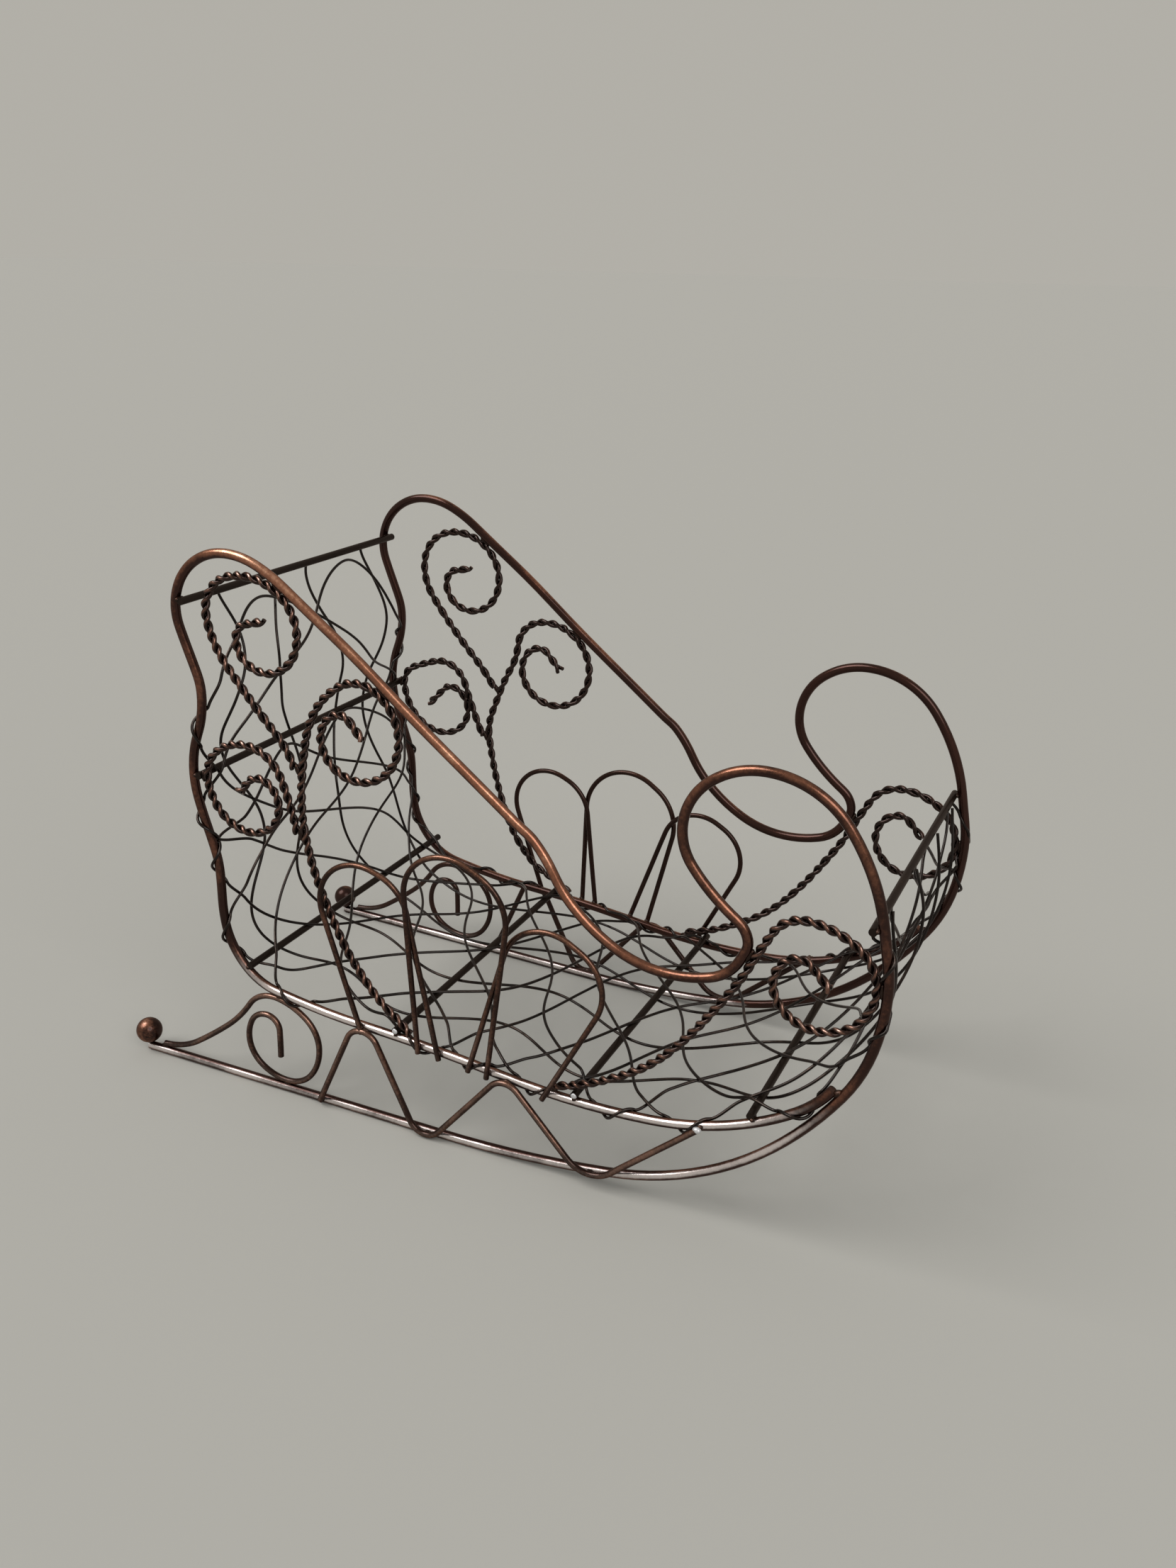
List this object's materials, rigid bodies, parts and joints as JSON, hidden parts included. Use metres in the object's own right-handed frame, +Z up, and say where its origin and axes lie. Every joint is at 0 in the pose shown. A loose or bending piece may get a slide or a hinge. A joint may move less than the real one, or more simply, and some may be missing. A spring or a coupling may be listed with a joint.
{
  "type": "wire sleigh basket",
  "caption": "Table-top sleigh basket of welded steel wire: curled side frames on runners, twisted scrolls, arches and an open woven wire mat, in antique copper.",
  "frame": {"origin": "on the ground, under the middle of the sleigh's bounding box", "axes": "+X forward to the curled nose, +Y to the sleigh's left, +Z up"},
  "size_m": [0.3489, 0.1714, 0.2465],
  "materials": {
    "frame_wire": "satin antique copper over dark bronze, rubbed bright on the upper and outer sides",
    "cross_bar": "satin dark bronze with faint copper",
    "plain_wire": "satin antique copper over dark bronze",
    "twisted_wire": "satin dark bronze, brighter on the crests of the twist",
    "mat_wire": "satin dark bronze",
    "ball": "satin antique copper, speckled"
  },
  "bodies": {
    "root": {"front_floor_bar": "cross_bar", "left_frame_wire": "frame_wire", "left_front_arch": "plain_wire", "left_front_arm": "twisted_wire", "left_mid_arch": "plain_wire", "left_nose_scroll": "twisted_wire", "left_rear_arch": "plain_wire", "left_rear_arm": "twisted_wire", "left_runner_scroll": "plain_wire", "left_tail_ball": "ball", "left_upper_arm": "twisted_wire", "left_zigzag_brace": "plain_wire", "low_back_bar": "cross_bar", "mat_long_wires": "mat_wire", "mat_zigzag_wires": "mat_wire", "mid_back_bar": "cross_bar", "mid_floor_bar": "cross_bar", "nose_bar": "cross_bar", "rear_floor_bar": "cross_bar", "right_frame_wire": "frame_wire", "right_front_arch": "plain_wire", "right_front_arm": "twisted_wire", "right_mid_arch": "plain_wire", "right_nose_scroll": "twisted_wire", "right_rear_arch": "plain_wire", "right_rear_arm": "twisted_wire", "right_runner_scroll": "plain_wire", "right_tail_ball": "ball", "right_upper_arm": "twisted_wire", "right_zigzag_brace": "plain_wire", "top_back_bar": "cross_bar"}
  },
  "joints": []
}
